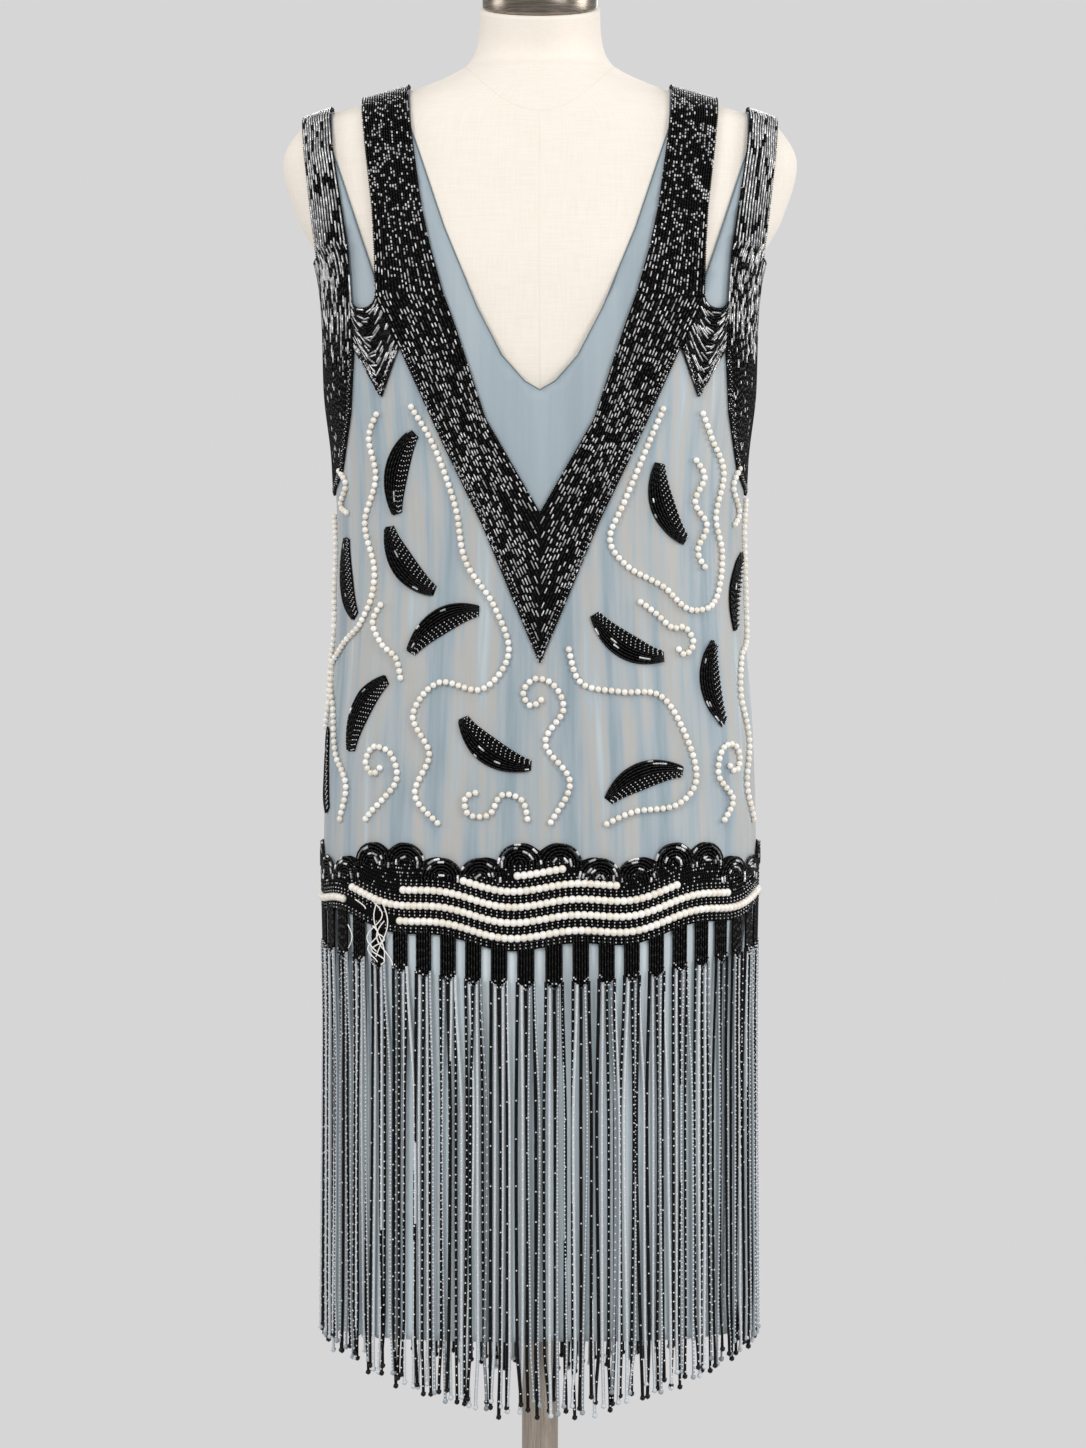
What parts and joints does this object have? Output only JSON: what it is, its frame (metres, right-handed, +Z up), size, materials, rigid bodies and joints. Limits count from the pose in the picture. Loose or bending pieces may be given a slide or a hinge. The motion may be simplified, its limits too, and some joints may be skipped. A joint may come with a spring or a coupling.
{
  "type": "beaded flapper dress on a limbless dress form",
  "caption": "Sleeveless beaded shift dress with a V yoke, a wave hem band and a long bead fringe, standing on a limbless linen dress form with a pole and a round base.",
  "frame": {"origin": "on the floor under the middle of the round base", "axes": "+Z up along the pole, the dress's front faces -Y, +X to the right seen from the front"},
  "size_m": [0.424, 0.424, 1.4906],
  "materials": {
    "slip_silk": "plain blue-grey silk",
    "chiffon": "sheer blue-grey silk chiffon",
    "black_beadwork": "glossy black glass beads on chiffon",
    "band_beadwork": "black glass and ivory pearl bead rows on chiffon",
    "bead_fringe": "strung black glass and clear beads",
    "linen": "plain cream linen over a moulded form",
    "cap_steel": "brushed",
    "stand_nickel": "satin nickel"
  },
  "bodies": {
    "root": {"slip_front": "slip_silk", "slip_back": "slip_silk", "dress_front": "chiffon", "dress_back": "chiffon", "yoke_front": "black_beadwork", "yoke_back": "black_beadwork", "hem_band_front": "band_beadwork", "hem_band_back": "band_beadwork", "fringe_front": "bead_fringe", "fringe_back": "bead_fringe", "form_torso": "linen", "neck_cap": "cap_steel", "pole": "stand_nickel", "base": "stand_nickel"}
  },
  "joints": []
}
